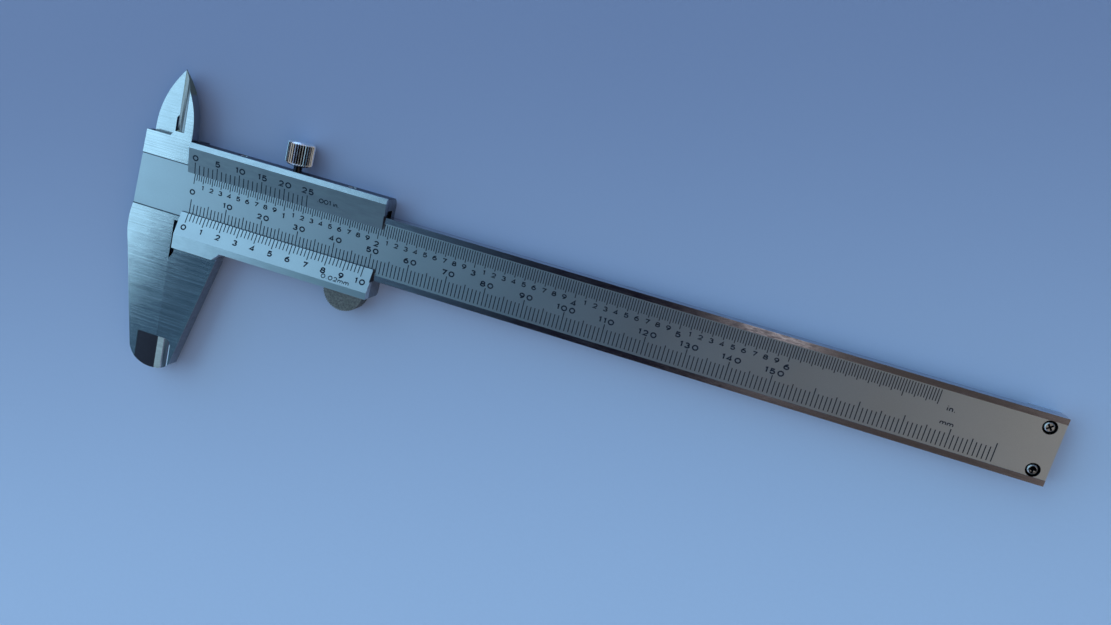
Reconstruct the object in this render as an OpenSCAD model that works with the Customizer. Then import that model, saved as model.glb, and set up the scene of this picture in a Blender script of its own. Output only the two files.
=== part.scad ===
// Vernier caliper, 150 mm / 6 in, lying on its back.
// +X is the way the slider opens, +Y points to the inside jaws, +Z out of the graduated face.
// X = 0 is the contact plane of the closed outside jaws, Y = 0 the beam's centre line
// and Z = 0 the plane that the slider's back and the stop plate rest on.

/* [Beam] */
// Width of the beam across its two guiding edges
beam_w = 16; // [15.6:0.1:16.4]
// Thickness of the beam behind its graduated face
beam_t = 3.5; // [3.4:0.1:3.8]
// Distance from the jaw contact plane to the far end of the beam
beam_end = 215.7; // [212:0.1:220]
// Height of the raised guide rails above the graduated face
rail_h = 0.1; // [0.05:0.01:0.15]
// Width of each raised guide rail
rail_w = 1.4; // [1.2:0.1:1.6]

/* [Jaws] */
// Reach of the outside jaws below the beam
jaw_depth = 41; // [39:0.5:42]
// Height of the inside jaws' tips above the beam's centre line
blade_tip_y = 29.4; // [28:0.1:31]
// Distance of the inside jaws' measuring edges behind the outside contact plane
blade_setback = 4.65; // [4.4:0.05:4.9]
// Width of the flat land left on each inside measuring edge
blade_land = 0.2; // [0.1:0.05:0.3]

/* [Slider] */
// Start of the slider's front plates, measured from the jaw contact plane
slider_start = 1.8; // [1.7:0.1:2]
// Length of the slider's front plates
slider_l = 53.7; // [53:0.1:55]
// Thickness of the wall behind the beam
wall_t = 2; // [1.8:0.1:2.2]
// Travel of the slider from closed jaws to the stop plate
travel = 153; // [150:0.5:154]
// Running clearance between the slider and the beam
fit = 0.05; // [0.03:0.01:0.08]

/* [Gib and clamp] */
// Gap between the released gib and the beam's edge
gib_gap = 0.12; // [0.1:0.01:0.14]
// Position of the lock screw along the slider
lock_x = 29.7; // [26:0.1:33]
// Diameter of the knurled head of the lock screw
lock_head_d = 6.7; // [6:0.1:6.8]
// Thread diameter of the lock screw and of the gib screws
thread_d = 2.5; // [2.2:0.1:2.6]
// Spacing of the gib screws on each side of the lock screw
gib_screw_gap = 15; // [12:0.5:18]

/* [Depth bar] */
// Width of the depth bar
depth_w = 4; // [3.6:0.1:4.2]
// Thickness of the depth bar
depth_t = 1.6; // [1.4:0.1:1.7]

/* [Hidden] */
$fn = 64;
eps = 0.01;
over = 2; // overshoot of a cutting tool beyond the face it cuts

// Levels along Z
beam_back = wall_t + fit;
beam_face = beam_back + beam_t;
rail_top = beam_face + rail_h;
lip_under = rail_top + fit;
upper_plate = beam_face + 1.35;
lower_plate = beam_face + 2.3;
lip_edge = 0.12;
top_bevel = 0.5;
blade_split = 2.95;
blade_fit = 0.05;

// Lines along Y
edge_y = beam_w / 2;
rail_in = edge_y - rail_w;
slider_top = 12.6;
slider_bottom = -12.7;
upper_lip = 5;
lower_lip = -5.15;
upper_plate_y = 11.3;
lower_plate_y = -11.05;
head_top = 12.7;
blade_bevel_y = 14.1;
tip_y = -edge_y - jaw_depth;

// Lines along X
slider_end = slider_start + slider_l;
blade_x = -blade_setback;
head_left = -11.35;
fixed_root_x = 1.4;
moving_root_x = -10.9;
jaw_root_x = 13.1;

// Rounded end that the two closed outside jaws share
tip_r = 7.1;
tip_x = -0.7;
tip_cy = tip_y + tip_r;

// Radius of the grinding wheel that bevels the inside jaws, and how far up it runs
grind_r = 10;
grind_end_y = 32;

// Relief at the tips of both outside jaws: where it lies along Y, and its depth at the contact edge
relief_y = [tip_y - over, tip_y + 9.3];
relief_depth = 0.9;
// Where the fixed jaw's relief starts
fixed_relief_x = -5.6;
// Where the flat of the moving jaw's relief ends and how deep it is there, the relief's rim and corner
relief_flat_x = 2;
relief_flat_depth = 0.63;
relief_rim_x = 4.2;
relief_corner_r = 1.6;

// Gib channel and its parts, along Y and Z
channel_y = 9.5;
channel_z = 4.85;
gib_y = edge_y + gib_gap;
gib_back = channel_y - 0.1;
gib_z = [2.12, 4.75];
screw_z = (gib_z[0] + gib_z[1]) / 2;
dimple = 0.3;
thread_fit = 0.03;

// Stop plate and its screws
stop_x = slider_end + travel + fit;
stop_screw_x = 212.5;
stop_screw_y = 5.05;
screw_d = 1.6;
screw_head_d = 2.5;
counterbore_d = 3.2;
screw_seat = 4.5;

// Thumb rest
thumb_x = 48.3;
thumb_r = 5.5;
thumb_z = [0.95, 4.75];
tang_x = [thumb_x - 3.5, thumb_x + 3.5];
tang_z = [1.6, 4.1];
tang_h = 2.3;

// Depth bar pins
depth_start = 6;
depth_pin_x = [9.5, 16.5];
depth_pin_d = 1.5;
depth_pin_h = 1;

function arc(c, r, a0, a1, n) =
    [for (i = [0:n]) let (a = a0 + (a1 - a0) * i / n) c + r * [cos(a), sin(a)]];

// Curved outer side of an inside jaw, from its root up to the tip that both jaws share
function blade_side(root_x, root_y, power, n) =
    [for (i = [0:n]) let (t = i / n)
        [root_x + (blade_x - root_x) * pow(t, power), root_y + (blade_tip_y - root_y) * t]];

// Ring of knurl teeth with n crests
function knurl(r_crest, r_root, n) =
    [for (i = [0:2 * n - 1]) let (a = 180 * i / n, r = i % 2 == 0 ? r_crest : r_root) r * [cos(a), sin(a)]];

module block(x, y, z) {
    translate([x[0], y[0], z[0]]) cube([x[1] - x[0], y[1] - y[0], z[1] - z[0]]);
}

// Prism between two levels over a plan outline
module slab(z) {
    translate([0, 0, z[0]]) linear_extrude(z[1] - z[0]) children();
}

// Round bar along Y, from y[0] to y[1]
module rod_y(d, y, x, z) {
    translate([x, y[0], z]) rotate([-90, 0, 0]) cylinder(d = d, h = y[1] - y[0]);
}

// Long round cutter along Y that hollow-grinds an inside jaw through points a and b of the XZ plane
module hollow_grind(a, b) {
    half = norm(b - a) / 2;
    mid = (a + b) / 2;
    across = [-(b - a)[1], (b - a)[0]] / (2 * half);
    c = mid + across * sqrt(grind_r * grind_r - half * half);
    rod_y(2 * grind_r, [blade_bevel_y, grind_end_y], c[0], c[1]);
}

// ---- Outside jaws ----

// Plan of both closed outside jaws together
module jaw_pair() {
    intersection() {
        polygon(concat([[jaw_root_x, -16.2], [jaw_root_x, -edge_y], [-11.9, -edge_y]],
            arc([8.05, -11.9], 21, 167, 194.3, 8),
            [[-6.3, -50], [3.74, -50]]));
        union() {
            translate([tip_x, tip_cy]) circle(r = tip_r);
            translate([-20, tip_cy]) square([40, 60]);
        }
    }
}

// Repeats a cutter for the front face of a jaw, mirrored, on the jaw's back face
module on_both_jaw_faces() {
    for (face = [0, 1])
        translate([0, 0, face * (beam_back + rail_top)]) mirror([0, 0, face]) children();
}

// Prism along the relief's length over an outline in the XZ plane
module relief_prism(outline) {
    translate([0, relief_y[1], 0]) rotate([90, 0, 0]) linear_extrude(relief_y[1] - relief_y[0]) polygon(outline);
}

// Sloped relief that thins the fixed jaw towards its contact edge
module fixed_tip_relief() {
    start = [fixed_relief_x, rail_top];
    slope = [0, rail_top - relief_depth] - start;
    end = start + slope * (1 - over / fixed_relief_x);
    on_both_jaw_faces()
        relief_prism([start, end, [over, rail_top + over], [fixed_relief_x - over, rail_top + over]]);
}

// Relief of the moving jaw: a sloped flat along the contact edge, then a fillet up to the rim in the
// jaw's face, with a rounded corner at its upper end
module moving_tip_relief() {
    edge = [0, rail_top - relief_depth];
    flat_end = [relief_flat_x, rail_top - relief_flat_depth];
    along = (flat_end - edge) / norm(flat_end - edge);
    square_to = [-along[1], along[0]];
    chord = [relief_rim_x, rail_top] - flat_end;
    fillet_r = (chord * chord) / (2 * (chord * square_to));
    c = flat_end + fillet_r * square_to;
    corner = [relief_rim_x + 0.1, relief_y[1]] - relief_corner_r * [1, 1];
    on_both_jaw_faces() intersection() {
        union() {
            rod_y(2 * fillet_r, relief_y, c[0], c[1]);
            relief_prism([edge - over * along, flat_end, c, [-over, c[1]]]);
        }
        slab([beam_back, rail_top + over]) translate([-over, relief_y[0]]) union() {
            square(corner + [over, relief_corner_r - relief_y[0]]);
            square(corner + [over + relief_corner_r, -relief_y[0]]);
            translate(corner + [over, -relief_y[0]]) circle(r = relief_corner_r);
        }
    }
}

// ---- Beam with the fixed jaws ----

module head_plan() {
    polygon(concat([[fixed_root_x, 0], [0, 0], [0, -edge_y - 1]],
        arc([8.05, -11.9], 21, 190, 166, 8),
        [[head_left, head_top], [fixed_root_x, head_top]]));
}

module fixed_outside_jaw() {
    difference() {
        slab([beam_back, rail_top]) intersection() {
            jaw_pair();
            translate([-20, -60]) square([20, 60]);
        }
        fixed_tip_relief();
    }
}

module fixed_inside_jaw() {
    ramp_x = -3.7;
    difference() {
        slab([blade_split, rail_top])
            polygon(concat([[blade_x, head_top - 1], [fixed_root_x, head_top - 1]],
                blade_side(fixed_root_x, head_top, 2.6, 14)));
        hollow_grind([blade_x, blade_split + blade_land], [-1, rail_top]);
        slab([blade_split + blade_land, rail_top + over])
            polygon([[blade_x - 1, head_top - eps], [blade_x, head_top - eps], [ramp_x, blade_bevel_y + eps],
                [blade_x - 1, blade_bevel_y + eps]]);
    }
}

module stop_screw_hole(y) {
    translate([stop_screw_x, y, 0]) {
        cylinder(d = screw_d + 0.2, h = beam_face);
        translate([0, 0, screw_seat]) cylinder(d = counterbore_d, h = over);
    }
}

module beam() {
    color([0.74, 0.79, 0.84]) difference() {
        union() {
            block([0, beam_end], [-edge_y, edge_y], [beam_back, rail_top]);
            slab([beam_back, rail_top]) intersection() {
                head_plan();
                translate([-30, -30]) square([40, 30 + edge_y]);
            }
            slab([blade_split, rail_top]) intersection() {
                head_plan();
                translate([-30, 0]) square([40, 30]);
            }
            fixed_outside_jaw();
            fixed_inside_jaw();
        }
        block([-20, beam_end + over], [-rail_in, rail_in], [beam_face, rail_top + over]);
        block([depth_start - 0.5, beam_end + over], [-depth_w / 2 - 0.1, depth_w / 2 + 0.1],
            [0, wall_t + depth_t + 0.1]);
        for (side = [-1, 1]) stop_screw_hole(side * stop_screw_y);
    }
}

// ---- Stop plate behind the beam's far end ----

module stop_plate() {
    color([0.6, 0.62, 0.65]) difference() {
        block([stop_x, beam_end], [-edge_y + 0.1, edge_y - 0.1], [0, beam_back]);
        block([stop_x - over, beam_end + over], [-depth_w / 2 - 0.2, depth_w / 2 + 0.2],
            [wall_t - 0.2, beam_back + over]);
        for (side = [-1, 1])
            translate([stop_screw_x, side * stop_screw_y, -over])
                cylinder(d = screw_d + 0.02, h = beam_back + 2 * over);
    }
}

// Round-headed screw with a cross recess, turned to its own angle
module stop_screw(y, turn) {
    head_top_z = beam_face - 0.1;
    arm = [1.7, 0.42, 1];
    color([0.7, 0.7, 0.7]) translate([stop_screw_x, y, 0]) difference() {
        union() {
            translate([0, 0, 0.4]) cylinder(d = screw_d, h = screw_seat - 0.4 + eps);
            translate([0, 0, screw_seat]) cylinder(d = screw_head_d, h = 0.6);
            translate([0, 0, screw_seat + 0.6])
                cylinder(d1 = screw_head_d, d2 = screw_head_d - 0.7, h = head_top_z - screw_seat - 0.6);
        }
        for (a = [0, 90])
            rotate([0, 0, turn + a]) translate([0, 0, head_top_z]) cube(arm, center = true);
    }
}

module stop_screw_upper() {
    stop_screw(stop_screw_y, 40);
}

module stop_screw_lower() {
    stop_screw(-stop_screw_y, 5);
}

// ---- Slider with the vernier plates and the moving jaws ----

// Section of the slider across the beam; x of the outline is Y, y of the outline is Z
module slider_section() {
    low_r = 1;
    high_r = 2.2;
    polygon(concat(
        arc([slider_bottom + low_r, low_r], low_r, 180, 270, 6),
        arc([slider_top - high_r, high_r], high_r, 270, 360, 8),
        [[slider_top, upper_plate - top_bevel], [upper_plate_y, upper_plate],
            [upper_lip, lip_under + lip_edge], [upper_lip, lip_under],
            [edge_y + fit, lip_under], [edge_y + fit, channel_z], [channel_y, channel_z], [channel_y, wall_t],
            [-edge_y - fit, wall_t], [-edge_y - fit, lip_under], [lower_lip, lip_under],
            [lower_lip, lip_under + lip_edge], [lower_plate_y, lower_plate], [slider_bottom, lower_plate]]));
}

module slider_bar() {
    translate([slider_start, 0, 0]) rotate([90, 0, 90]) linear_extrude(slider_l) slider_section();
}

// Front plate where it reaches further down over the root of the moving jaw
module jaw_apron() {
    apron_y = -14.7;
    end_x = [13.3, 15.2];
    slab([beam_back, lower_plate])
        polygon([[slider_start, slider_bottom + 1], [slider_start, apron_y], [end_x[0], apron_y],
            [end_x[1], slider_bottom], [end_x[1], slider_bottom + 1]]);
}

module moving_outside_jaw() {
    notch_x = 1.15;
    notch_y = [-18.3, -16.4];
    fillet_r = 3;
    root_x = jaw_root_x + fillet_r;
    root_y = slider_bottom - fillet_r;
    difference() {
        slab([beam_back, rail_top]) intersection() {
            union() {
                jaw_pair();
                difference() {
                    translate([12, root_y]) square([root_x - 12, fillet_r + 1]);
                    translate([root_x, root_y]) circle(r = fillet_r);
                }
            }
            translate([0, -60]) square([20, 60 + slider_bottom + 1]);
        }
        slab([0, rail_top + over])
            polygon([[-1, 0], [notch_x, 0], [notch_x, notch_y[1]], [0.1, notch_y[0]], [-1, notch_y[0]]]);
        moving_tip_relief();
    }
}

// Wall behind the head that carries the moving inside jaw
module moving_inside_jaw() {
    relief_x = blade_x - 0.75;
    relief_end_y = [17.2, 18.2];
    difference() {
        union() {
            slab([0, wall_t])
                polygon([[slider_start + 1, slider_top], [moving_root_x, slider_top], [moving_root_x, 7.5],
                    [-4, -3], [slider_start + 1, -3]]);
            slab([0, blade_split - blade_fit])
                polygon(concat([[slider_start + 1, edge_y + 0.2], [slider_start + 1, slider_top],
                    [blade_x, slider_top]],
                    [for (i = [14:-1:0]) blade_side(moving_root_x, slider_top, 2.2, 14)[i]],
                    [[moving_root_x, edge_y + 0.2]]));
        }
        hollow_grind([blade_x, blade_split - blade_fit - blade_land], [-8.3, 0]);
        slab([-over, blade_split + over])
            polygon([[relief_x, slider_top + 1], [relief_x, relief_end_y[0]], [blade_x, relief_end_y[1]],
                [blade_x + 1, relief_end_y[1]], [blade_x + 1, slider_top + 1]]);
    }
}

module slider() {
    color([0.66, 0.76, 0.86]) difference() {
        union() {
            slider_bar();
            jaw_apron();
            moving_outside_jaw();
            moving_inside_jaw();
        }
        rod_y(thread_d + 2 * thread_fit, [channel_y - 1, slider_top + over], lock_x, screw_z);
        for (side = [-1, 1])
            rod_y(thread_d + 2 * thread_fit, [channel_y - 1, slider_top + over],
                lock_x + side * gib_screw_gap, screw_z);
        for (x = depth_pin_x)
            translate([x, 0, -over]) cylinder(d = depth_pin_d + 0.02, h = wall_t + 2 * over);
        block(tang_x, [slider_bottom - over, slider_bottom + tang_h], tang_z);
    }
}

// Knurled half disc under the slider, with a tang in the slider's lower bar
module thumb_rest() {
    color([0.5, 0.52, 0.54]) {
        slab(thumb_z) intersection() {
            translate([thumb_x, slider_bottom]) rotate(1.5) polygon(knurl(thumb_r, thumb_r - 0.25, 60));
            translate([thumb_x - 10, slider_bottom - 10]) square([20, 10]);
        }
        block([tang_x[0] + 0.02, tang_x[1] - 0.02], [slider_bottom - eps, slider_bottom + tang_h - 0.05],
            [tang_z[0] + 0.02, tang_z[1] - 0.02]);
    }
}

// ---- Depth bar, pinned to the slider's wall and running in the beam's groove ----

module depth_bar() {
    tip_l = 3;
    shoulder_y = 0.8;
    color([0.62, 0.64, 0.66]) difference() {
        block([depth_start, beam_end], [-depth_w / 2, depth_w / 2], [wall_t, wall_t + depth_t]);
        slab([wall_t - over, wall_t + depth_t + over])
            polygon([[beam_end - tip_l, depth_w / 2 + 1], [beam_end - tip_l, depth_w / 2],
                [beam_end - tip_l + 1, shoulder_y], [beam_end + 1, shoulder_y], [beam_end + 1, depth_w / 2 + 1]]);
        for (x = depth_pin_x)
            translate([x, 0, wall_t - over]) cylinder(d = depth_pin_d + 0.02, h = over + depth_pin_h + 0.02);
    }
}

module depth_bar_pin(x) {
    color([0.5, 0.5, 0.5]) translate([x, 0, 0.05]) cylinder(d = depth_pin_d, h = wall_t + depth_pin_h - 0.05);
}

module depth_bar_pin_front() {
    depth_bar_pin(depth_pin_x[0]);
}

module depth_bar_pin_rear() {
    depth_bar_pin(depth_pin_x[1]);
}

// ---- Gib, its two screws and the lock screw ----

module gib() {
    color([0.72, 0.55, 0.3]) difference() {
        block([5, 52], [gib_y, gib_back], gib_z);
        for (side = [-1, 1])
            rod_y(1.6, [gib_back - dimple, gib_back + over], lock_x + side * gib_screw_gap, screw_z);
    }
}

// Slotted headless screw with a dog point that holds the gib lengthwise
module gib_screw(x) {
    top = slider_top - 0.3;
    color([0.35, 0.36, 0.38]) difference() {
        union() {
            rod_y(thread_d, [gib_back, top], x, screw_z);
            rod_y(1.5, [gib_back - dimple + 0.02, gib_back + eps], x, screw_z);
        }
        block([x - 2, x + 2], [top - 0.6, top + over], [screw_z - 0.2, screw_z + 0.2]);
    }
}

module gib_screw_front() {
    gib_screw(lock_x - gib_screw_gap);
}

module gib_screw_rear() {
    gib_screw(lock_x + gib_screw_gap);
}

module lock_screw() {
    neck_y = slider_top - 0.2;
    head_y = 14.1;
    head_h = 5.8;
    chamfer = 0.6;
    r = lock_head_d / 2;
    color([0.3, 0.3, 0.32]) {
        rod_y(thread_d, [gib_back, neck_y], lock_x, screw_z);
        rod_y(2.1, [neck_y - eps, head_y + eps], lock_x, screw_z);
        translate([lock_x, head_y, screw_z]) rotate([-90, 0, 0]) intersection() {
            linear_extrude(head_h) polygon(knurl(r + 0.02, r - 0.35, 32));
            union() {
                cylinder(r1 = r - chamfer, r2 = r, h = chamfer);
                translate([0, 0, chamfer]) cylinder(r = r, h = head_h - 2 * chamfer);
                translate([0, 0, head_h - chamfer]) cylinder(r1 = r, r2 = r - chamfer, h = chamfer);
            }
        }
    }
}

beam();
stop_plate();
stop_screw_upper();
stop_screw_lower();
slider();
thumb_rest();
depth_bar();
depth_bar_pin_front();
depth_bar_pin_rear();
gib_screw_front();
gib_screw_rear();
gib();
lock_screw();
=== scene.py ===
import bpy
import math
from mathutils import Matrix, Vector


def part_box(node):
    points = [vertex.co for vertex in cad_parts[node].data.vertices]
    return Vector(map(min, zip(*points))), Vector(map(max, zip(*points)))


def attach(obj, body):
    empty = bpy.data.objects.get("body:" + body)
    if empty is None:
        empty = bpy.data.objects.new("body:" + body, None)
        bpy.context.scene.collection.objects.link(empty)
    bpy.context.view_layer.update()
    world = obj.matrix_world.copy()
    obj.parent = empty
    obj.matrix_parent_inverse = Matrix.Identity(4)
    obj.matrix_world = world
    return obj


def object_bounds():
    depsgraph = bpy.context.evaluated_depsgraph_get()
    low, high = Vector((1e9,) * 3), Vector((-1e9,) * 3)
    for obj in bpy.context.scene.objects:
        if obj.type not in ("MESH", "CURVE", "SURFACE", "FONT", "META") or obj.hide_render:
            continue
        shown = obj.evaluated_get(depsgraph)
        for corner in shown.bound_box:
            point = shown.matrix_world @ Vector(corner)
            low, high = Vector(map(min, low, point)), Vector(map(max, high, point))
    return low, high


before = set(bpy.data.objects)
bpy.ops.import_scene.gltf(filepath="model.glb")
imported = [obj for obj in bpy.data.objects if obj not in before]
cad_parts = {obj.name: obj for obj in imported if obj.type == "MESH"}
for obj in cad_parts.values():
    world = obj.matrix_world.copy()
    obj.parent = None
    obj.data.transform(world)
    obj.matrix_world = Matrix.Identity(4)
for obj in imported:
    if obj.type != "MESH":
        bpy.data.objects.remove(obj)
cad_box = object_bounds()

MM = 0.001

# ---- Named sizes of the visual details, in millimetres, in the CAD frame ----

SCALE_ZERO = 3.8            # zero line of both scales, from the outside jaws' contact plane
INCH = 25.4
RAIL_H = 0.1                # the rails stand this much above the graduated face
RAIL_IN = 6.6               # inner side of each rail, from the centre line
SCREW_HEAD = 14.1           # the lock screw's head starts here
SLIDER_END = 55.5           # the front plates' far end
APRON_LOW = -14.7           # lower end of the slider's front plate
SLIDER_TOP = 12.6           # the slider's upper wall
HEAD_TOP = 12.7             # the head's upper wall, below the fixed inside jaw
TIP_FLAT, TIP_EDGE = 2.0, 4.2   # the moving jaw's relief: end of its flat, and its rim
TIP_RELIEF = 9.3            # height of the relieved ends of the outside jaws
KNURL_START, KNURL_END = 0.5, 5.3   # the knurl's two ends, from the underside of the lock screw's head
KNURL_R, KNURL_ROOT_R = 3.27, 3.10  # and the radii between which it turns dark
BORE_R = 1.75               # the stop screws' counterbores
RIM_R, RECESS_R = 1.12, 0.90    # the edge of those screws' flat tops, and the reach of their recesses

# Each vernier plate rises from a thin lip beside the beam's scale to its outer edge: the places of
# both along Y, and the heights there
LIP_TOP = 5.82
LOWER_LIP, LOWER_EDGE, LOWER_PLATE = -5.15, -11.05, 7.85
UPPER_LIP, UPPER_EDGE, UPPER_PLATE = 5.0, 11.3, 6.90

# The filled marks: how far they stand proud and reach into the metal, and their widths
INK_H, INK_SINK = 0.012, 0.02
TICK_W = 0.24
STROKE, THIN_STROKE = 0.34, 0.24
WIDE = 1.10                 # the numerals are a little wider than drawn

beam_lo, beam_hi = (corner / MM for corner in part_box("beam"))
slider_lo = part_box("slider")[0] / MM
RAIL_Z = beam_hi.z                      # top of the rails and of the fixed jaws
FACE_Z = RAIL_Z - RAIL_H                # the graduated face between the rails
BEAM_TIP_Y = beam_lo.y + TIP_RELIEF     # where the outside jaws' reliefs start
SLIDER_TIP_Y = slider_lo.y + TIP_RELIEF


def middle(box):
    """Centre of a CAD box, in millimetres."""
    return sum(box, Vector()) / 2 / MM


# ---- Camera: the photograph's viewing angle ----

camera_data = bpy.data.cameras.new("camera")
camera_data.sensor_fit = "HORIZONTAL"
camera_data.sensor_width = 36
camera_data.lens = 28.41
camera_data.clip_start = 0.01
camera_data.clip_end = 20
camera = bpy.data.objects.new("camera", camera_data)
bpy.context.scene.collection.objects.link(camera)
eye = Vector((134.11, 44.41, 205.23)) * MM
right = Vector((0.94536, 0.24847, -0.21108))
up = Vector((-0.28650, 0.94212, -0.17412))
back = Vector((0.15560, 0.22508, 0.96183))
camera.matrix_world = Matrix.Translation(eye) @ Matrix((right, up, back)).transposed().to_4x4()
bpy.context.scene.camera = camera

# ---- Node helpers ----


class Nodes:
    """A node tree under construction: every method adds nodes and returns an output socket."""

    def __init__(self, tree, coordinate, scale):
        self.tree = tree
        places = self.node("ShaderNodeTexCoord")
        self.coord = places.outputs[coordinate]
        self.facing = places.outputs["Normal"]
        split = self.node("ShaderNodeSeparateXYZ")
        scaled = self.node("ShaderNodeVectorMath", operation="SCALE")
        scaled.inputs["Scale"].default_value = scale
        self.tree.links.new(self.coord, scaled.inputs[0])
        self.tree.links.new(scaled.outputs[0], split.inputs[0])
        self.x, self.y, self.z = split.outputs

    def node(self, kind, **props):
        made = self.tree.nodes.new(kind)
        for key, value in props.items():
            setattr(made, key, value)
        return made

    def upright(self):
        """1 on walls that stand up from the floor, 0 on faces that look up or down."""
        split = self.node("ShaderNodeSeparateXYZ")
        self.tree.links.new(self.facing, split.inputs[0])
        return self.step(self.math("ABSOLUTE", split.outputs[2]), 0.25, 0.08)

    def put(self, socket, value):
        if isinstance(value, bpy.types.NodeSocket):
            self.tree.links.new(value, socket)
        else:
            socket.default_value = value

    def math(self, operation, a, b=0.0, clamp=False):
        made = self.node("ShaderNodeMath", operation=operation, use_clamp=clamp)
        self.put(made.inputs[0], a)
        self.put(made.inputs[1], b)
        return made.outputs[0]

    def step(self, value, start, end):
        """0 before start, 1 after end; end may be the smaller number."""
        made = self.node("ShaderNodeMapRange", interpolation_type="SMOOTHSTEP")
        self.put(made.inputs["Value"], value)
        made.inputs["From Min"].default_value = start
        made.inputs["From Max"].default_value = end
        return made.outputs["Result"]

    def both(self, *masks):
        """1 where every mask is 1."""
        out = masks[0]
        for mask in masks[1:]:
            out = self.math("MULTIPLY", out, mask)
        return out

    def either(self, a, b):
        """1 where one of two masks is 1."""
        return self.math("ADD", a, b, clamp=True)

    def reach(self, centre, *places):
        """Distance from an axis: places are the two coordinates across it, centre its values of them."""
        squares = [self.math("POWER", self.math("SUBTRACT", place, axis), 2.0)
                   for place, axis in zip(places, centre)]
        return self.math("SQRT", self.math("ADD", *squares))

    def noise(self, per_mm, detail=2.0, roughness=0.5, distortion=0.0):
        """Noise of the given cycles per millimetre along X, Y and Z."""
        place = self.node("ShaderNodeMapping")
        self.tree.links.new(self.coord, place.inputs["Vector"])
        place.inputs["Scale"].default_value = [f / MM for f in per_mm]
        made = self.node("ShaderNodeTexNoise")
        self.tree.links.new(place.outputs[0], made.inputs["Vector"])
        made.inputs["Scale"].default_value = 1.0
        made.inputs["Detail"].default_value = detail
        made.inputs["Roughness"].default_value = roughness
        made.inputs["Distortion"].default_value = distortion
        return made.outputs["Fac"]

    def span(self, value, low, high):
        """Noise value to a number between low and high, with the contrast of noise spread out."""
        made = self.node("ShaderNodeMapRange")
        self.put(made.inputs["Value"], value)
        made.inputs["From Min"].default_value = 0.3
        made.inputs["From Max"].default_value = 0.7
        self.put(made.inputs["To Min"], low)
        self.put(made.inputs["To Max"], high)
        return made.outputs["Result"]

    def mix(self, factor, a, b):
        made = self.node("ShaderNodeMix", data_type="FLOAT")
        self.put(made.inputs[0], factor)
        self.put(made.inputs[2], a)
        self.put(made.inputs[3], b)
        return made.outputs[0]

    def colour(self, factor, a, b):
        made = self.node("ShaderNodeMix", data_type="RGBA")
        self.put(made.inputs[0], factor)
        self.put(made.inputs[6], a)
        self.put(made.inputs[7], b)
        return made.outputs[2]

    def bump(self, height, depth_mm, under=None):
        """Normals of a height map; under is the result of another bump below this one."""
        made = self.node("ShaderNodeBump")
        self.put(made.inputs["Height"], height)
        made.inputs["Distance"].default_value = depth_mm * MM
        made.inputs["Strength"].default_value = 1.0
        if under is not None:
            self.tree.links.new(under, made.inputs["Normal"])
        return made.outputs[0]


class Shader(Nodes):
    """A surface material; x, y and z are millimetres in the CAD frame."""

    def __init__(self, name):
        self.material = bpy.data.materials.new(name)
        self.material.use_nodes = True
        self.principled = self.material.node_tree.nodes["Principled BSDF"]
        super().__init__(self.material.node_tree, "Object", 1 / MM)

    def finish(self, colour, roughness, normal=None, metallic=1.0):
        self.put(self.principled.inputs["Base Color"], colour)
        self.put(self.principled.inputs["Roughness"], roughness)
        self.principled.inputs["Metallic"].default_value = metallic
        if normal is not None:
            self.tree.links.new(normal, self.principled.inputs["Normal"])
        return self.material


def rgb(r, g, b):
    return (r, g, b, 1.0)


# ---- Materials ----

# Near-black painted shade for recesses, counterbores and the ring round a screw head
RECESS_SHADE = rgb(0.012, 0.012, 0.014)


def steel(name, tint, rough, along):
    """Ground steel with fine brushing along one axis, a few longer scratches and faint handling stains."""
    s = Shader(name)
    lengthways, across = 0.12, 4.0
    pitch = {"X": (lengthways, across, across), "Y": (across, lengthways, across)}[along]
    brush = s.noise(pitch, detail=4, roughness=0.65)
    scratch = s.noise([f * 2.6 for f in pitch], detail=1, distortion=0.2)
    scratch = s.step(scratch, 0.69, 0.76)
    cloud = s.noise((0.09, 0.14, 0.14), detail=3)
    fine = s.noise((9, 9, 9), detail=1)
    dark = rgb(*[c * 0.80 for c in tint])
    light = rgb(*[min(1, c * 1.12) for c in tint])
    colour = s.colour(s.span(brush, 0, 1), dark, light)
    colour = s.colour(s.span(cloud, 0, 0.22), colour, rgb(0.42, 0.38, 0.35))
    roughness = s.math("ADD", s.span(brush, rough - 0.06, rough + 0.06), s.span(cloud, -0.03, 0.05))
    height = s.math("ADD", brush, s.math("MULTIPLY", fine, 0.25))
    normal = s.bump(height, 0.010)
    normal = s.bump(scratch, -0.004, under=normal)
    return s.finish(colour, roughness, normal)


# A finish is (colour, roughness, bump height); the next five functions make and combine them.


def brushed(s, dark, light, rough):
    """Steel ground along X, with broad streaks, faint smudges and a few bright scratches."""
    fine = s.noise((0.025, 8.0, 8.0), detail=2, roughness=0.5)
    broad = s.noise((0.015, 2.4, 2.4), detail=3, roughness=0.7)
    smudge = s.noise((0.22, 0.30, 0.30), detail=3)
    scratch = s.step(s.noise((0.03, 4.5, 4.5), detail=1), 0.66, 0.74)
    lines = s.math("ADD", s.math("MULTIPLY", fine, 0.5), s.math("MULTIPLY", broad, 0.5))
    colour = s.colour(s.span(lines, 0, 1), rgb(*dark), rgb(*light))
    colour = s.colour(s.math("MULTIPLY", scratch, 0.25), colour, rgb(0.85, 0.87, 0.88))
    colour = s.colour(s.span(smudge, 0, 0.35), colour, rgb(*[c * 0.9 for c in dark]))
    return colour, s.span(broad, rough - 0.025, rough + 0.03), fine


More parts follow.
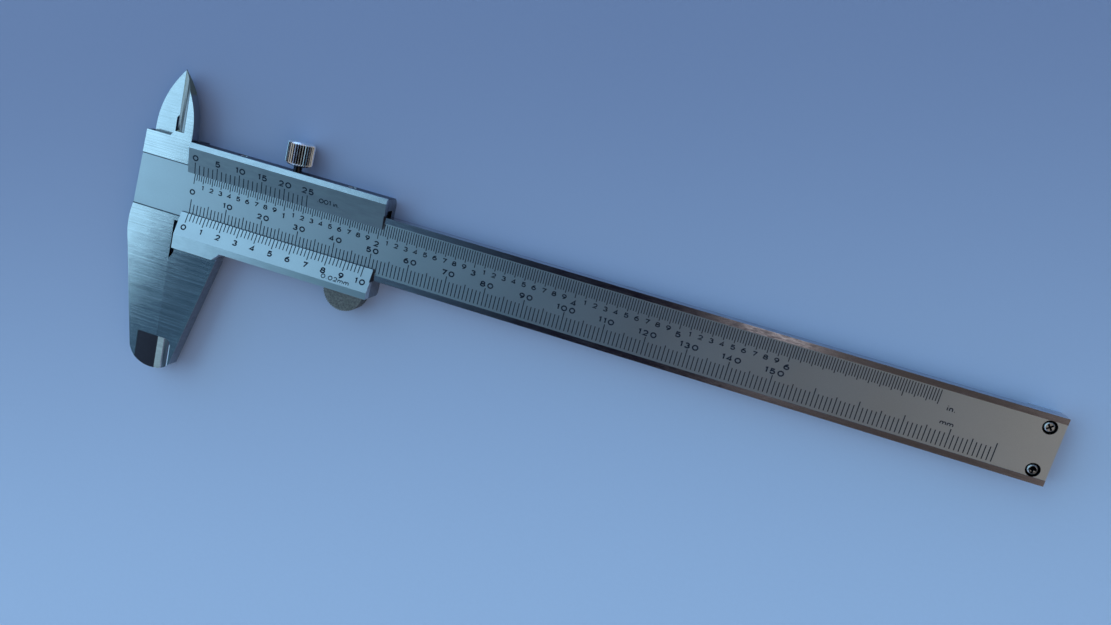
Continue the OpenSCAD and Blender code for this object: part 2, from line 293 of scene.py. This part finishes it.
def satin(s):
    """Bead-blasted satin chrome."""
    grain = s.noise((7, 7, 7), detail=2, roughness=0.7)
    cloud = s.noise((0.06, 0.12, 0.12), detail=3)
    colour = s.colour(s.span(grain, 0, 1), rgb(0.55, 0.61, 0.64), rgb(0.65, 0.71, 0.74))
    colour = s.colour(s.span(cloud, 0, 0.3), colour, rgb(0.50, 0.54, 0.56))
    rough = s.math("ADD", s.span(grain, 0.32, 0.39), s.span(cloud, -0.02, 0.02))
    return colour, rough, s.math("MULTIPLY", grain, 0.5)


def plated(s, tint, rough):
    """Small turned parts, plated or blued, with faint smears."""
    smear = s.noise((0.8, 0.8, 0.8), detail=3)
    fine = s.noise((6, 6, 6), detail=2)
    colour = s.colour(s.span(smear, 0, 1), rgb(*tint), rgb(*[c * 1.35 for c in tint]))
    return colour, s.span(smear, rough - 0.05, rough + 0.08), fine


def blend(s, mask, under, over):
    """One finish over another where the mask is 1."""
    return (s.colour(mask, under[0], over[0]),
            s.mix(mask, under[1], over[1]),
            s.mix(mask, under[2], over[2]))


def recolour(s, mask, finish, colour):
    """A finish in another colour where the mask is 1."""
    return (s.colour(mask, finish[0], colour), finish[1], finish[2])


def on_relief(s, start_y):
    """Mask of the relieved end of an outside jaw: below start_y and below the front face, not its walls."""
    return s.both(
        s.step(s.y, start_y + 0.05, start_y - 0.05),
        s.step(s.z, RAIL_Z - 0.02, RAIL_Z - 0.05),
        s.math("SUBTRACT", 1.0, s.upright()))


def beam_steel():
    """The beam: bead-blasted satin graduated face, polished rails, ground head, jaws and edges; its walls,
    upper wall, groove and counterbores get painted shade, and the inside jaw's bevel a painted reflection.
    """
    s = Shader("beam_satin_and_ground_steel")
    head_right = 1.6        # the rails start beside the head
    bevel_right = -0.6      # right side of the fixed inside jaw's bevel
    across = s.math("ABSOLUTE", s.y)
    on_face = s.both(
        s.step(s.z, FACE_Z + 0.06, FACE_Z + 0.03),
        s.step(s.z, FACE_Z - 0.06, FACE_Z - 0.03),
        s.step(across, RAIL_IN + 0.04, RAIL_IN))
    on_rail = s.both(
        s.step(s.x, head_right - 0.4, head_right),
        s.step(across, RAIL_IN - 0.2, RAIL_IN - 0.05))
    # The recessed step where the rails start beside the head; it is painted near-black as painted shade
    on_step = s.both(
        s.step(s.z, FACE_Z - 0.1, FACE_Z - 0.03),
        s.step(s.x, head_right + 0.3, head_right - 0.1),
        s.step(across, RAIL_IN - 0.12, RAIL_IN - 0.04),
        s.step(across, RAIL_IN + 0.24, RAIL_IN + 0.14))
    # The fixed inside jaw's bevel, painted darker and brownish as a painted reflection
    on_bevel_reflection = s.both(
        s.step(s.y, HEAD_TOP, HEAD_TOP + 0.1),
        s.step(s.z, RAIL_Z - 0.08, RAIL_Z - 0.14),
        s.step(s.x, bevel_right, bevel_right - 0.3))
    # The head's upper wall, painted near-black as painted shade
    on_shaded_top_wall = s.both(
        s.step(s.y, HEAD_TOP - 0.2, HEAD_TOP - 0.1),
        s.step(s.y, HEAD_TOP + 0.1, HEAD_TOP + 0.02),
        s.step(s.z, RAIL_Z - 0.2, RAIL_Z - 0.4))

    streaks = s.noise((0.05, 7.0, 7.0), detail=3, roughness=0.6)
    wear = s.noise((0.25, 0.9, 0.9), detail=4, roughness=0.7)
    streaked = s.span(streaks, 0, 1)
    polished = s.colour(streaked, rgb(0.43, 0.41, 0.47), rgb(0.62, 0.61, 0.67))
    polished = s.colour(s.span(wear, 0, 0.65), polished, rgb(0.24, 0.23, 0.28))
    rail = (polished, s.span(wear, 0.07, 0.24), s.math("MULTIPLY", streaks, 0.36))
    tip = (s.colour(streaked, rgb(0.34, 0.26, 0.29), rgb(0.46, 0.37, 0.40)), 0.10, 0.0)
    # Painted shade in the groove beside the head
    groove = (s.colour(s.span(wear, 0, 1), rgb(0.03, 0.04, 0.06), rgb(0.10, 0.12, 0.15)), 0.45, streaks)
    # Painted shade: walls that stand up get a darker colour than the faces
    wall = s.colour(streaked, rgb(0.24, 0.26, 0.28), rgb(0.34, 0.36, 0.38))
    # Painted reflection and shade for the inside jaw's bevel
    bevel = s.colour(streaked, rgb(0.20, 0.20, 0.13), rgb(0.34, 0.33, 0.23))

    finish = brushed(s, (0.50, 0.53, 0.55), (0.84, 0.87, 0.88), 0.08)
    finish = recolour(s, s.upright(), finish, wall)
    finish = recolour(s, on_bevel_reflection, finish, bevel)
    finish = blend(s, on_shaded_top_wall, finish, (rgb(0.06, 0.07, 0.09), 0.45, 0.0))
    finish = blend(s, on_rail, finish, rail)
    finish = blend(s, on_face, finish, satin(s))
    finish = blend(s, on_relief(s, BEAM_TIP_Y), finish, tip)
    for screw in ("stop_screw_upper", "stop_screw_lower"):
        from_screw = s.reach(middle(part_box(screw)).xy, s.x, s.y)
        # The counterbore round each stop screw, painted near-black as painted shade
        in_shaded_bore = s.both(
            s.step(from_screw, BORE_R, BORE_R - 0.09),
            s.step(s.z, FACE_Z - 0.03, FACE_Z - 0.12))
        finish = blend(s, in_shaded_bore, finish, (RECESS_SHADE, 0.6, 0.0))
    colour, rough, height = blend(s, on_step, finish, groove)
    return s.finish(colour, rough, s.bump(height, 0.007))


def slider_steel():
    """The slider: satin vernier plates and a satin strip below the lower one, ground steel elsewhere;
    painted shade on its walls, lip, end, upper plate and relief, and painted highlights on the strip and
    the relief's rim.
    """
    s = Shader("slider_satin_and_ground_steel")
    blade_right = 1.7       # the upper wall starts beside the moving inside jaw
    upper_wall_z = 5.7      # and lies below the upper plate's bevel
    slot_half = 8.2         # half the height of the beam's way through the slider
    strip_highlight_fade = 4, 48      # the strip's painted highlight fades between these places along X
    in_front = s.step(s.z, LIP_TOP - 0.2, LIP_TOP - 0.05)
    on_lower = s.both(
        in_front,
        s.step(s.y, LOWER_LIP + 0.3, LOWER_LIP + 0.1),
        s.step(s.y, APRON_LOW - 0.06, APRON_LOW + 0.02))
    on_upper = s.both(
        in_front,
        s.step(s.y, UPPER_LIP - 0.3, UPPER_LIP - 0.1),
        s.step(s.y, UPPER_EDGE + 0.06, UPPER_EDGE - 0.02))
    on_strip = s.both(
        s.step(s.z, LOWER_PLATE - 0.1, LOWER_PLATE - 0.04),
        s.step(s.y, LOWER_EDGE + 0.05, LOWER_EDGE - 0.05))
    # The lower plate's lip beside the main scale, painted near-black as the shade in the gap
    on_shaded_lip = s.both(
        s.step(s.z, LIP_TOP + 0.2, LIP_TOP + 0.1),
        s.step(s.y, LOWER_LIP - 0.16, LOWER_LIP - 0.08),
        s.step(s.y, LOWER_LIP + 0.3, LOWER_LIP + 0.1))
    on_jaw = s.step(s.y, APRON_LOW + 0.05, APRON_LOW - 0.05)
    # The rim of the moving jaw's relief, painted as a bright highlight line
    on_painted_rim = s.both(
        s.step(s.y, SLIDER_TIP_Y - 1.2, SLIDER_TIP_Y - 1.6),
        s.step(s.x, TIP_EDGE - 0.12, TIP_EDGE - 0.04),
        s.step(s.x, TIP_EDGE + 0.16, TIP_EDGE + 0.08))
    on_top_bevel = s.both(in_front, s.step(s.y, UPPER_EDGE - 0.02, UPPER_EDGE + 0.06))
    # The slider's upper wall, painted near-black as painted shade
    on_shaded_top_wall = s.both(
        s.step(s.x, blade_right, blade_right + 0.1),
        s.step(s.y, SLIDER_TOP - 0.25, SLIDER_TOP - 0.12),
        s.step(s.z, upper_wall_z + 0.3, upper_wall_z))
    # The front plates' end face beside the beam, painted near-black as shade in the gap
    on_shaded_end = s.both(
        s.step(s.x, SLIDER_END - 0.25, SLIDER_END - 0.12),
        s.step(s.math("ABSOLUTE", s.y), slot_half + 0.4, slot_half),
        s.step(s.z, FACE_Z - 1.2, FACE_Z - 0.9))

    wear = s.noise((0.25, 0.9, 0.9), detail=4, roughness=0.7)
    worn = s.span(wear, 0, 1)
    plate = satin(s)
    # Painted highlight: the strip is bright at its left end and dimmer towards the right
    strip = s.colour(s.step(s.x, *strip_highlight_fade), rgb(0.92, 0.98, 1.0), rgb(0.62, 0.70, 0.72))
    strip = s.colour(s.span(wear, 0, 0.3), strip, rgb(0.50, 0.56, 0.58))
    # The upper plate is the same satin chrome, painted darker as painted shade
    upper = s.colour(worn, rgb(0.30, 0.33, 0.345), rgb(0.36, 0.40, 0.415))
    plate_colour = s.colour(on_upper, s.colour(on_strip, plate[0], strip), upper)
    plate = (plate_colour, s.mix(on_strip, plate[1], 0.30), plate[2])
    jaw = brushed(s, (0.36, 0.39, 0.42), (0.62, 0.65, 0.68), 0.10)
    tip_colour = s.colour(worn, rgb(0.28, 0.26, 0.25), rgb(0.38, 0.35, 0.33))
    # Beyond the relief's flat the curve is painted dark as painted shade
    tip_colour = s.colour(s.step(s.x, TIP_FLAT + 0.1, TIP_FLAT + 0.7), tip_colour, rgb(0.10, 0.125, 0.13))
    # Painted shade along the lip
    lip = (s.colour(worn, rgb(0.03, 0.04, 0.06), rgb(0.08, 0.10, 0.13)), 0.5, 0.0)
    # Painted shade: walls that stand up get a darker colour than the faces
    wall = s.colour(worn, rgb(0.20, 0.22, 0.25), rgb(0.34, 0.36, 0.38))
    top_bevel = s.colour(worn, rgb(0.42, 0.46, 0.50), rgb(0.54, 0.58, 0.62))

    finish = brushed(s, (0.56, 0.60, 0.62), (0.80, 0.83, 0.85), 0.14)
    finish = blend(s, on_jaw, finish, jaw)
    finish = recolour(s, s.upright(), finish, wall)
    finish = blend(s, s.either(on_lower, on_upper), finish, plate)
    finish = blend(s, on_relief(s, SLIDER_TIP_Y), finish, (tip_colour, 0.24, 0.0))
    finish = blend(s, on_painted_rim, finish, (rgb(0.95, 0.97, 1.0), 0.45, 0.0))
    finish = blend(s, on_top_bevel, finish, (top_bevel, 0.20, finish[2]))
    finish = blend(s, on_shaded_top_wall, finish, (rgb(0.09, 0.10, 0.13), 0.45, 0.0))
    finish = blend(s, on_shaded_end, finish, (rgb(0.03, 0.035, 0.05), 0.5, 0.0))
    colour, rough, height = blend(s, on_shaded_lip, finish, lip)
    return s.finish(colour, rough, s.bump(height, 0.007))


def thumb_steel():
    """Matt and gritty, as if sand-cast."""
    s = Shader("thumb_rest_matt_steel")
    grit = s.noise((1.7, 1.7, 1.7), detail=5, roughness=0.75)
    blotch = s.noise((0.5, 0.5, 0.5), detail=3)
    colour = s.colour(s.span(grit, 0, 1), rgb(0.06, 0.065, 0.06), rgb(0.40, 0.39, 0.35))
    colour = s.colour(s.span(blotch, 0, 0.45), colour, rgb(0.12, 0.12, 0.105))
    return s.finish(colour, s.span(grit, 0.40, 0.60), s.bump(grit, 0.14))


def blued_screw(name):
    """A small headless screw, blued."""
    s = Shader(name)
    colour, rough, height = plated(s, (0.20, 0.20, 0.22), 0.32)
    return s.finish(colour, rough, s.bump(height, 0.006))


def knurled_screw():
    """The lock screw: plated head with painted shade in the knurl's valleys, painted highlights on its
    chamfers, and a thread painted near-black as painted shade.
    """
    s = Shader("lock_screw_dark_chrome")
    start, end = SCREW_HEAD + KNURL_START, SCREW_HEAD + KNURL_END
    from_axis = s.reach(middle(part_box("lock_screw")).xz, s.x, s.z)
    # The knurl's valleys, painted near-black as painted shade
    in_shaded_valley = s.both(
        s.step(from_axis, KNURL_R, KNURL_ROOT_R),
        s.step(s.y, end, end - 0.2),
        s.step(s.y, start, start + 0.2))
    # The head's two chamfers, painted near-white as a painted highlight
    on_chamfer_highlight = s.either(s.step(s.y, end - 0.05, end + 0.05), s.step(s.y, start, start - 0.1))
    # The thread below the head, painted near-black as painted shade
    on_shaded_thread = s.step(s.y, SCREW_HEAD - 0.02, SCREW_HEAD - 0.08)

    colour, rough, height = plated(s, (0.44, 0.49, 0.53), 0.20)
    colour = s.colour(in_shaded_valley, colour, rgb(0.02, 0.02, 0.025))
    colour = s.colour(on_chamfer_highlight, colour, rgb(0.92, 0.96, 0.97))
    colour = s.colour(on_shaded_thread, colour, rgb(0.03, 0.03, 0.035))
    return s.finish(colour, rough, s.bump(height, 0.006))


def cross_recess_screw(node_name):
    """A bright screw whose recess and the ring round its head are painted near-black as painted shade."""
    s = Shader(node_name + "_bright_steel")
    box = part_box(node_name)
    top = box[1].z / MM
    from_axis = s.reach(middle(box).xy, s.x, s.y)
    in_shaded_recess = s.both(
        s.step(from_axis, RECESS_R, RECESS_R - 0.04),
        s.step(s.z, top - 0.10, top - 0.16))
    on_painted_rim = s.step(from_axis, RIM_R, RIM_R + 0.10)
    smear = s.noise((0.9, 0.9, 0.9), detail=3)
    colour = s.colour(s.span(smear, 0, 1), rgb(0.46, 0.46, 0.44), rgb(0.66, 0.65, 0.62))
    # Painted shade in the recess and round the head
    colour = s.colour(s.math("MAXIMUM", in_shaded_recess, on_painted_rim), colour, RECESS_SHADE)
    return s.finish(colour, s.span(smear, 0.30, 0.42), s.bump(smear, 0.004))


def ink():
    """Dark filled marks, slightly uneven as etched filling is."""
    s = Shader("scale_ink")
    grain = s.noise((5, 5, 5), detail=2)
    colour = s.colour(s.span(grain, 0, 1), rgb(0.008, 0.014, 0.026), rgb(0.024, 0.034, 0.055))
    s.principled.inputs["Specular IOR Level"].default_value = 0.15
    return s.finish(colour, s.span(grain, 0.5, 0.7), s.bump(grain, 0.004), metallic=0.0)


INK = ink()
FINISHES = {
    "beam": beam_steel(),
    "slider": slider_steel(),
    "stop_plate": steel("stop_plate_ground_steel", (0.60, 0.61, 0.62), 0.30, along="Y"),
    "depth_bar": steel("depth_bar_ground_steel", (0.62, 0.62, 0.62), 0.24, along="X"),
    "depth_bar_pin_front": steel("depth_pin_steel_front", (0.58, 0.57, 0.56), 0.34, along="Y"),
    "depth_bar_pin_rear": steel("depth_pin_steel_rear", (0.58, 0.57, 0.56), 0.34, along="Y"),
    "thumb_rest": thumb_steel(),
    "lock_screw": knurled_screw(),
    "gib_screw_front": blued_screw("gib_screw_blued_steel"),
    "gib_screw_rear": blued_screw("gib_screw_blued_steel_rear"),
    "stop_screw_upper": cross_recess_screw("stop_screw_upper"),
    "stop_screw_lower": cross_recess_screw("stop_screw_lower"),
    "gib": steel("gib_bronze", (0.72, 0.50, 0.26), 0.34, along="X"),
}
for node_name, finish in FINISHES.items():
    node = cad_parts[node_name]
    node.data.materials.clear()
    node.data.materials.append(finish)

# ---- Small rounded edges on the CAD nodes ----

EDGE_ROUND = {
    "beam": 0.10, "slider": 0.11, "stop_plate": 0.08, "depth_bar": 0.06, "lock_screw": 0.03,
    "stop_screw_upper": 0.04, "stop_screw_lower": 0.04, "thumb_rest": 0.06,
}
WELD_MM = 0.002
FLAT_DEGREES = 0.6      # triangles that differ by less are joined into one face
SHARP_DEGREES = 28      # edges that turn by more are rounded


def round_edges(node, width):
    weld = node.modifiers.new("weld", "WELD")
    weld.merge_threshold = WELD_MM * MM
    flat = node.modifiers.new("flat", "DECIMATE")
    flat.decimate_type = "DISSOLVE"
    flat.angle_limit = math.radians(FLAT_DEGREES)
    bevel = node.modifiers.new("edges", "BEVEL")
    bevel.width = width * MM
    bevel.segments = 2
    bevel.limit_method = "ANGLE"
    bevel.angle_limit = math.radians(SHARP_DEGREES)
    bevel.harden_normals = True


for node_name, width in EDGE_ROUND.items():
    round_edges(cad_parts[node_name], width)

# ---- Scale marks: closed thin strips laid on a face ----


def arc(cx, cy, rx, ry, start, end, steps=12):
    """Points of an ellipse's arc between two angles in degrees."""
    angles = [math.radians(start + (end - start) * i / steps) for i in range(steps + 1)]
    return [(cx + rx * math.cos(angle), cy + ry * math.sin(angle)) for angle in angles]


def ring(cx, cy, rx, ry):
    return arc(cx, cy, rx, ry, 0, 360, 24)[:-1]


def turned(points, cx, cy):
    """The points half a turn round a centre."""
    return [(2 * cx - x, 2 * cy - y) for x, y in points]


def hump(x, width):
    """The arched stroke of an n or m, from its stem at x down to the baseline."""
    half = width / 2
    return arc(x + half, 0.40, half, 0.24, 170, 0, 8) + [(x + width, 0.0)]


SIX_STEM = arc(0.80, 0.33, 0.80, 0.67, 96, 176, 8)
# Each glyph: its width, then its strokes as (closed, centre-line points), all for a height of 1
GLYPHS = {
    "0": (1.0, [(True, ring(0.5, 0.5, 0.5, 0.5))]),
    "1": (0.30, [(False, [(0.0, 0.90), (0.30, 1.0), (0.30, 0.0)])]),
    "2": (0.84, [(False, arc(0.42, 0.68, 0.41, 0.32, 165, -38) + [(0.02, 0.0), (0.84, 0.0)])]),
    "3": (0.84, [(False, arc(0.41, 0.76, 0.36, 0.24, 155, -90, 10)),
                 (False, arc(0.41, 0.27, 0.43, 0.27, 90, -160, 12))]),
    "4": (0.90, [(False, [(0.64, 0.0), (0.64, 1.0), (0.0, 0.26), (0.90, 0.26)])]),
    "5": (0.84, [(False, [(0.78, 1.0), (0.14, 1.0), (0.08, 0.52)]
                  + arc(0.41, 0.32, 0.43, 0.32, 130, -155, 14))]),
    "6": (0.86, [(True, ring(0.43, 0.31, 0.43, 0.31)), (False, SIX_STEM)]),
    "7": (0.84, [(False, [(0.0, 1.0), (0.84, 1.0), (0.28, 0.0)])]),
    "8": (0.88, [(True, ring(0.44, 0.76, 0.35, 0.24)), (True, ring(0.44, 0.27, 0.44, 0.27))]),
    "9": (0.86, [(True, ring(0.43, 0.69, 0.43, 0.31)), (False, turned(SIX_STEM, 0.43, 0.5))]),
    ".": (0.12, [(False, [(0.0, 0.06), (0.12, 0.06)])]),
    "i": (0.10, [(False, [(0.05, 0.0), (0.05, 0.64)]), (False, [(0.05, 0.88), (0.05, 1.0)])]),
    "n": (0.52, [(False, [(0.0, 0.0), (0.0, 0.64)]), (False, hump(0.0, 0.52))]),
    "m": (1.2, [(False, [(0.0, 0.0), (0.0, 0.64)]), (False, hump(0.0, 0.6)), (False, hump(0.6, 0.6))]),
    " ": (0.30, []),
}


class Face:
    """A flat face of the CAD, level or sloping along Y from (y0, z0) to (y1, z1).

    Called with a plan point (x, y) and a height above the face, in mm, it gives a point in metres.
    """

    def __init__(self, y0, z0, y1=None, z1=None):
        self.y0, self.z0 = y0, z0
        self.rise = 0.0 if y1 is None else (z1 - z0) / (y1 - y0)
        self.normal = Vector((0, -self.rise, 1)).normalized()

    def __call__(self, x, y, h):
        return (Vector((x, y, self.z0 + (y - self.y0) * self.rise)) + self.normal * h) * MM


MAIN = Face(0, FACE_Z)
LOWER = Face(LOWER_LIP, LIP_TOP, LOWER_EDGE, LOWER_PLATE)
UPPER = Face(UPPER_LIP, LIP_TOP, UPPER_EDGE, UPPER_PLATE)


class Marks:
    """Collects the strips of one inked piece."""

    def __init__(self, face):
        self.face, self.verts, self.faces = face, [], []

    def strip(self, points, width, closed=False):
        """One closed band along a centre line, mitred at its corners."""
        count = len(points)
        first = len(self.verts)
        for i, (x, y) in enumerate(points):
            before = points[i - 1] if closed or i else points[i]
            after = points[(i + 1) % count] if closed or i < count - 1 else points[i]
            into = Vector((x - before[0], y - before[1]))
            out = Vector((after[0] - x, after[1] - y))
            into = into.normalized() if into.length else out.normalized()
            out = out.normalized() if out.length else into
            mean = (into + out).normalized()
            side = Vector((-mean.y, mean.x)) * (width / 2 / max(0.5, mean.dot(into)))
            for way, h in ((1, -INK_SINK), (1, INK_H), (-1, INK_H), (-1, -INK_SINK)):
                self.verts.append(self.face(x + way * side.x, y + way * side.y, h))
        for i in range(count if closed else count - 1):
            a, b = first + 4 * i, first + 4 * ((i + 1) % count)
            for k in range(4):
                self.faces.append((a + k, a + (k + 1) % 4, b + (k + 1) % 4, b + k))
        if not closed:
            last = first + 4 * (count - 1)
            self.faces.append((first + 3, first + 2, first + 1, first))
            self.faces.append((last, last + 1, last + 2, last + 3))

    def tick(self, x, y0, y1, width=TICK_W):
        self.strip([(x, y0), (x, y1)], width)

    def text(self, words, centre, y, height, stroke=STROKE, gap=0.30):
        """words centred on x = centre, standing on y; height is the full height of a numeral."""
        size = height - stroke
        space = gap * size + stroke * 0.4
        widths = [GLYPHS[c][0] * size * WIDE for c in words]
        x = centre - (sum(widths) + space * (len(words) - 1)) / 2
        for c, w in zip(words, widths):
            for closed, points in GLYPHS[c][1]:
                line = [(x + px * size * WIDE, y + stroke / 2 + py * size) for px, py in points]
                self.strip(line, stroke, closed)
            x += w + space

    def piece(self, name, body):
        mesh = bpy.data.meshes.new(name)
        mesh.from_pydata(self.verts, [], self.faces)
        mesh.validate()
        mesh.materials.append(INK)
        made = bpy.data.objects.new(name, mesh)
        bpy.context.scene.collection.objects.link(made)
        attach(made, body)


# Main metric scale: 200 mm, a tick each millimetre, numbered to 150
MM_LINES, MM_NUMBERED = 200, 150
MM_BOTTOM, MM_TENS, MM_FIVES, MM_ONES = -6.05, -1.60, -2.22, -2.75
UNIT_X = 188.7      # the names of the units stand at the scales' far end
marks = Marks(MAIN)
for i in range(MM_LINES + 1):
    top = MM_TENS if i % 10 == 0 else MM_FIVES if i % 5 == 0 else MM_ONES
    marks.tick(SCALE_ZERO + i, MM_BOTTOM, top)
marks.piece("main_scale_millimetre_lines", "beam")

marks = Marks(MAIN)
for i in range(10, MM_NUMBERED + 1, 10):
    marks.text(str(i), SCALE_ZERO + i + 0.15, y=-1.45, height=1.42, gap=0.62)
marks.text("mm", SCALE_ZERO + UNIT_X, y=-1.20, height=1.15, stroke=THIN_STROKE)
marks.piece("main_scale_millimetre_numerals", "beam")

# Main inch scale: forty lines to the inch up to 7.3 in, tenths numbered up to 6 in
INCH_LINES, INCH_TENTHS = 292, 60
INCH_TOP, INCH_WHOLE, INCH_TENTH, INCH_SHORT = 6.35, 2.40, 2.95, 3.42
marks = Marks(MAIN)
for i in range(INCH_LINES + 1):
    low = INCH_WHOLE if i % 40 == 0 else INCH_TENTH if i % 4 == 0 else INCH_SHORT
    marks.tick(SCALE_ZERO + i * INCH / 40, low, INCH_TOP, TICK_W * 0.92)
marks.piece("main_scale_inch_lines", "beam")

marks = Marks(MAIN)
marks.text("0", SCALE_ZERO - 0.05, y=-0.42, height=1.45)
for i in range(1, INCH_TENTHS + 1):
    x = SCALE_ZERO + i * INCH / 10
    if i % 10:
        marks.text(str(i % 10), x, y=1.34, height=1.22, stroke=STROKE * 0.82)
    else:
        marks.text(str(i // 10), x, y=0.42, height=1.42)
marks.text("in.", SCALE_ZERO + UNIT_X - 0.1, y=2.05, height=1.35, stroke=THIN_STROKE)
marks.piece("main_scale_inch_numerals", "beam")

# Metric vernier: 50 divisions over 49 mm, every fifth numbered
METRIC_DIVISIONS = 50
METRIC_STEP = 49 / METRIC_DIVISIONS
METRIC_LONG, METRIC_SHORT = -7.66, -7.1
marks = Marks(LOWER)
for i in range(METRIC_DIVISIONS + 1):
    marks.tick(SCALE_ZERO + i * METRIC_STEP, LOWER_LIP - 0.02, METRIC_SHORT if i % 5 else METRIC_LONG)
marks.piece("metric_vernier_lines", "slider")

marks = Marks(LOWER)
for i in range(0, METRIC_DIVISIONS + 1, 5):
    nudge = 0.2 if i == METRIC_DIVISIONS else 0
    marks.text(str(i // 5), SCALE_ZERO + i * METRIC_STEP + nudge, y=-9.53, height=1.43, gap=0.72)
marks.text("0.02mm", SCALE_ZERO + 42.95, y=-10.62, height=1.12, stroke=THIN_STROKE * 0.9, gap=0.36)
marks.piece("metric_vernier_numerals", "slider")

# Inch vernier: 25 divisions over 49 fortieths of an inch, every fifth numbered
INCH_DIVISIONS = 25
INCH_STEP = 49 * INCH / 40 / INCH_DIVISIONS
INCH_VERNIER_LONG, INCH_VERNIER_SHORT = 7.93, 7.42
marks = Marks(UPPER)
for i in range(INCH_DIVISIONS + 1):
    top = INCH_VERNIER_SHORT if i % 5 else INCH_VERNIER_LONG
    marks.tick(SCALE_ZERO + i * INCH_STEP, UPPER_LIP + 0.02, top)
marks.piece("inch_vernier_lines", "slider")

marks = Marks(UPPER)
for i in range(0, INCH_DIVISIONS + 1, 5):
    nudge = 0.1 if i == 10 else 0
    marks.text(str(i), SCALE_ZERO + i * INCH_STEP + nudge, y=8.28, height=1.52, gap=0.50)
marks.text(".001 in.", SCALE_ZERO + 36.8, y=7.02, height=1.18, stroke=THIN_STROKE, gap=0.2)
marks.piece("inch_vernier_numerals", "slider")

# ---- Floor ----


def floor_material():
    """Pale blue-grey paper, painted lighter towards the front and darker towards the back as painted light.
    """
    s = Shader("floor_pale_paper")
    fibre = s.noise((0.9, 0.9, 0.9), detail=4, roughness=0.6)
    broad = s.noise((0.004, 0.004, 0.004), detail=2)
    back_x, back_y = 0.29, 0.94     # the camera's upward direction, laid on the floor
    towards_back = s.math("SUBTRACT", s.math("MULTIPLY", s.y, back_y), s.math("MULTIPLY", s.x, back_x))
    # Painted light: the paper's colour grows lighter towards the front
    colour = s.colour(s.step(towards_back, -130, 50), rgb(0.62, 0.79, 1.0), rgb(0.28, 0.35, 0.53))
    colour = s.colour(s.span(broad, 0, 0.10), colour, rgb(0.52, 0.62, 0.78))
    colour = s.colour(s.span(fibre, 0, 0.05), colour, rgb(0.50, 0.58, 0.70))
    return s.finish(colour, s.span(fibre, 0.6, 0.75), s.bump(fibre, 0.02), metallic=0.0)


FLOOR_HALF = 1.6
FLOOR_GAP = 0.02 * MM       # keeps the floor and the part's underside apart
corners = [(x * FLOOR_HALF, y * FLOOR_HALF) for x, y in ((-1, -1), (1, -1), (1, 1), (-1, 1))]
floor_mesh = bpy.data.meshes.new("floor")
floor_mesh.from_pydata([(x, y, cad_box[0].z - FLOOR_GAP) for x, y in corners], [], [(0, 1, 2, 3)])
floor_mesh.materials.append(floor_material())
floor = bpy.data.objects.new("floor", floor_mesh)
bpy.context.scene.collection.objects.link(floor)

# ---- Soft light ----


def area_light(name, place, aim, size, power, colour):
    data = bpy.data.lights.new(name, "AREA")
    data.shape = "RECTANGLE"
    data.size, data.size_y = size
    data.energy = power
    data.color = colour
    made = bpy.data.objects.new(name, data)
    bpy.context.scene.collection.objects.link(made)
    made.location = place
    made.rotation_mode = "QUATERNION"
    made.rotation_quaternion = (Vector(aim) - Vector(place)).to_track_quat("-Z", "Y")
    return made


front = area_light(
    "front_softbox", place=(-0.05, -0.75, 0.36), aim=(0.03, -0.02, 0),
    size=(1.10, 0.36), power=2.2, colour=(0.43, 0.62, 1.0))
front.visible_diffuse = False
overhead = area_light(
    "overhead_fill", place=(-0.15, 0.10, 0.90), aim=(0.05, 0, 0),
    size=(1.6, 1.6), power=2.5, colour=(0.62, 0.78, 1.0))
overhead.visible_glossy = False


def studio_world():
    """A broad window on the left with a slanted edge, a dim ceiling, bright low walls and one small lamp.

    x, y and z are the direction in which a ray leaves the part, from -1 to 1.
    """
    world = bpy.data.worlds.new("studio")
    world.use_nodes = True
    w = Nodes(world.node_tree, "Generated", 1.0)

    ceiling = rgb(0.010, 0.010, 0.020)
    sky = w.colour(w.step(w.x, -0.16, -0.46), ceiling, rgb(0.112, 0.240, 0.360))
    sky = w.colour(w.step(w.y, 0.05, 0.45), sky, rgb(0.16, 0.28, 0.42))
    warm_corner = w.both(w.step(w.x, 0.0, 0.18), w.step(w.y, 0.2, -0.1))
    sky = w.colour(warm_corner, sky, rgb(0.095, 0.084, 0.076))
    right_wall = w.both(w.step(w.x, 0.35, 0.47), w.step(w.y, 0.4, 0.2))
    sky = w.colour(right_wall, sky, rgb(0.66, 0.57, 0.49))

    slant = w.math("SUBTRACT", w.x, w.math("MULTIPLY", w.y, 0.25))
    sky = w.colour(w.step(slant, -0.38, -0.43), sky, rgb(0.050, 0.112, 0.190))
    in_window = w.both(w.step(slant, -0.493, -0.503), w.step(w.y, -0.52, -0.42))
    sky = w.colour(in_window, sky, rgb(0.62, 1.08, 1.42))

    low_left = w.both(w.step(w.x, 0.1, -0.5), w.step(w.y, -0.50, -0.20))
    low_walls = w.colour(low_left, rgb(0.30, 0.38, 0.62), rgb(0.70, 1.14, 2.10))
    sky = w.colour(w.step(w.z, 0.50, 0.28), sky, low_walls)

    lamp = w.both(
        w.step(w.x, 0.03, 0.06), w.step(w.x, 0.14, 0.10),
        w.step(w.y, -0.23, -0.20), w.step(w.y, -0.12, -0.15), w.step(w.z, 0.4, 0.6))
    sky = w.colour(lamp, sky, rgb(1.0, 0.95, 0.92))

    background = world.node_tree.nodes["Background"]
    world.node_tree.links.new(sky, background.inputs["Color"])
    background.inputs["Strength"].default_value = 1.0
    return world


bpy.context.scene.world = studio_world()
bpy.context.scene.view_settings.view_transform = "Standard"
